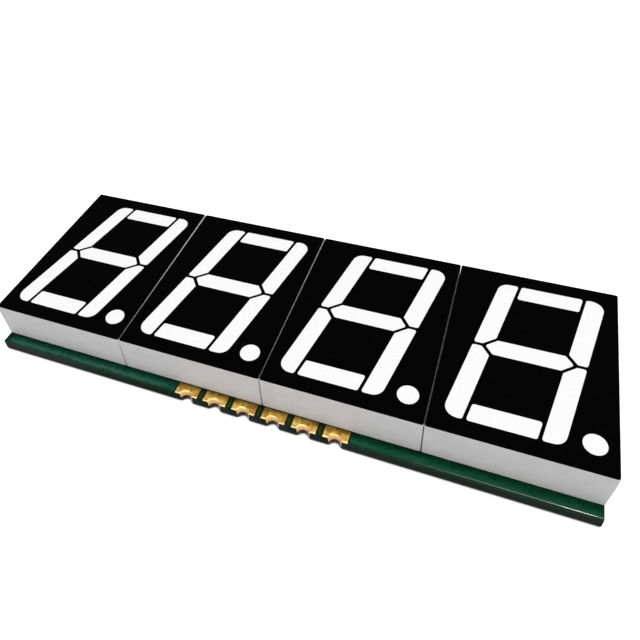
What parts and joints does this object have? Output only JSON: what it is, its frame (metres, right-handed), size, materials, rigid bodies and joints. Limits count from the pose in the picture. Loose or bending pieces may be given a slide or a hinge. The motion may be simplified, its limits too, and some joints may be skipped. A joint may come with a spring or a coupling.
{
  "type": "seven segment display module",
  "caption": "Flat surface-mount display module: slanted segmented figures with decimal points, white on a black face, in grey housings on a green board with gold-plated edge terminals.",
  "frame": {"origin": "centre of the underside, in the plane of the solder lands", "axes": "+X along the row of digits from left to right, +Y towards the tops of the figures, +Z out of the face"},
  "size_m": [0.0504, 0.0188, 0.0044],
  "materials": {
    "laminate": "routed glass-epoxy laminate, dark green",
    "solder_mask": "satin green solder mask",
    "gold_plating": "gold plating over nickel and copper",
    "housing": "fine-textured light grey moulding",
    "face_film": "matte black film",
    "resin": "diffusing white casting resin, flush with the film",
    "chip": "pale blue sawn crystal",
    "bond_wire": "drawn gold wire"
  },
  "bodies": {
    "root": {"circuit_board": "laminate", "solder_mask_top": "solder_mask", "solder_mask_bottom": "solder_mask", "die_lands": "gold_plating", "led_chips": "chip", "bond_wires": "bond_wire", "terminal_1": "gold_plating", "terminal_2": "gold_plating", "terminal_3": "gold_plating", "terminal_4": "gold_plating", "terminal_5": "gold_plating", "terminal_6": "gold_plating", "terminal_7": "gold_plating", "terminal_8": "gold_plating", "terminal_9": "gold_plating", "terminal_10": "gold_plating", "terminal_11": "gold_plating", "terminal_12": "gold_plating", "digit_1_housing": "housing", "digit_1_face_film": "face_film", "digit_1_decimal_point": "resin", "digit_1_segment_a": "resin", "digit_1_segment_b": "resin", "digit_1_segment_c": "resin", "digit_1_segment_d": "resin", "digit_1_segment_e": "resin", "digit_1_segment_f": "resin", "digit_1_segment_g": "resin", "digit_2_housing": "housing", "digit_2_face_film": "face_film", "digit_2_decimal_point": "resin", "digit_2_segment_a": "resin", "digit_2_segment_b": "resin", "digit_2_segment_c": "resin", "digit_2_segment_d": "resin", "digit_2_segment_e": "resin", "digit_2_segment_f": "resin", "digit_2_segment_g": "resin", "digit_3_housing": "housing", "digit_3_face_film": "face_film", "digit_3_decimal_point": "resin", "digit_3_segment_a": "resin", "digit_3_segment_b": "resin", "digit_3_segment_c": "resin", "digit_3_segment_d": "resin", "digit_3_segment_e": "resin", "digit_3_segment_f": "resin", "digit_3_segment_g": "resin", "digit_4_housing": "housing", "digit_4_face_film": "face_film", "digit_4_decimal_point": "resin", "digit_4_segment_a": "resin", "digit_4_segment_b": "resin", "digit_4_segment_c": "resin", "digit_4_segment_d": "resin", "digit_4_segment_e": "resin", "digit_4_segment_f": "resin", "digit_4_segment_g": "resin"}
  },
  "joints": []
}
